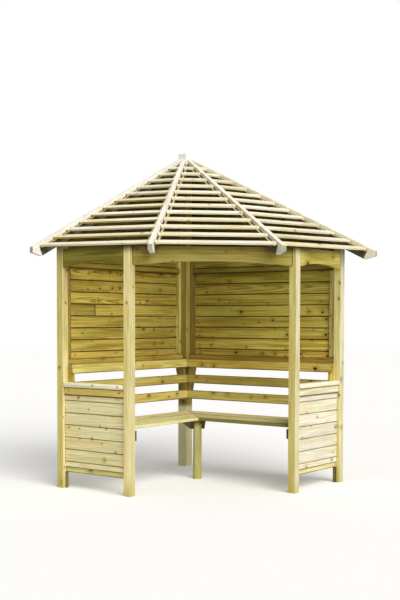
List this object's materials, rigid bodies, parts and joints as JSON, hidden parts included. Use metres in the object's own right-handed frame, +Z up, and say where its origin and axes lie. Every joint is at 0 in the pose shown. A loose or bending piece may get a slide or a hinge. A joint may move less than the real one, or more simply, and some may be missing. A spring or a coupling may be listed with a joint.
{
  "type": "corner arbor",
  "caption": "Open timber corner arbor with boarded back walls, low side panels, arched head beams, L-shaped bench and a fanned slatted roof.",
  "frame": {"origin": "middle of the corner post's foot, on the ground", "axes": "+Z up, front faces -Y, +X to the right of a person who faces the arbor; mirror-symmetric about the plane X = 0"},
  "size_m": [2.5124, 1.7276, 2.5784],
  "materials": {
    "post_timber": "pressure-treated softwood, planed, matt",
    "frame_timber": "pressure-treated softwood, planed, matt",
    "wall_boards": "pressure-treated tongued boards with knots, matt",
    "side_boards": "pressure-treated tongued boards with knots, matt",
    "planed_timber": "planed softwood with eased edges, matt",
    "beam_timber": "planed softwood, matt",
    "roof_timber": "pale planed softwood, matt"
  },
  "bodies": {
    "root": {"corner_post": "post_timber", "left_outer_post": "post_timber", "right_outer_post": "post_timber", "left_front_post": "post_timber", "right_front_post": "post_timber", "left_wall_boards": "wall_boards", "right_wall_boards": "wall_boards", "left_gable_boards": "wall_boards", "right_gable_boards": "wall_boards", "left_wall_low_rail": "frame_timber", "right_wall_low_rail": "frame_timber", "left_wall_head_rail": "frame_timber", "right_wall_head_rail": "frame_timber", "left_wall_uprights": "frame_timber", "right_wall_uprights": "frame_timber", "left_side_boards": "side_boards", "right_side_boards": "side_boards", "left_side_rails": "side_boards", "right_side_rails": "side_boards", "left_armrest": "planed_timber", "right_armrest": "planed_timber", "left_arched_beam": "beam_timber", "right_arched_beam": "beam_timber", "front_arched_beam": "beam_timber", "left_outer_rafter": "roof_timber", "left_inner_rafter": "roof_timber", "right_inner_rafter": "roof_timber", "right_outer_rafter": "roof_timber", "left_roof_slats": "roof_timber", "centre_roof_slats": "roof_timber", "right_roof_slats": "roof_timber", "left_roof_battens": "roof_timber", "centre_roof_battens": "roof_timber", "right_roof_battens": "roof_timber", "seat_leg": "post_timber", "seat_leg_bearers": "frame_timber", "left_end_bearer": "frame_timber", "right_end_bearer": "frame_timber", "left_seat_boards": "planed_timber", "right_seat_boards": "planed_timber", "left_backrest_boards": "planed_timber", "right_backrest_boards": "planed_timber", "left_backrest_brackets": "frame_timber", "right_backrest_brackets": "frame_timber"}
  },
  "joints": []
}
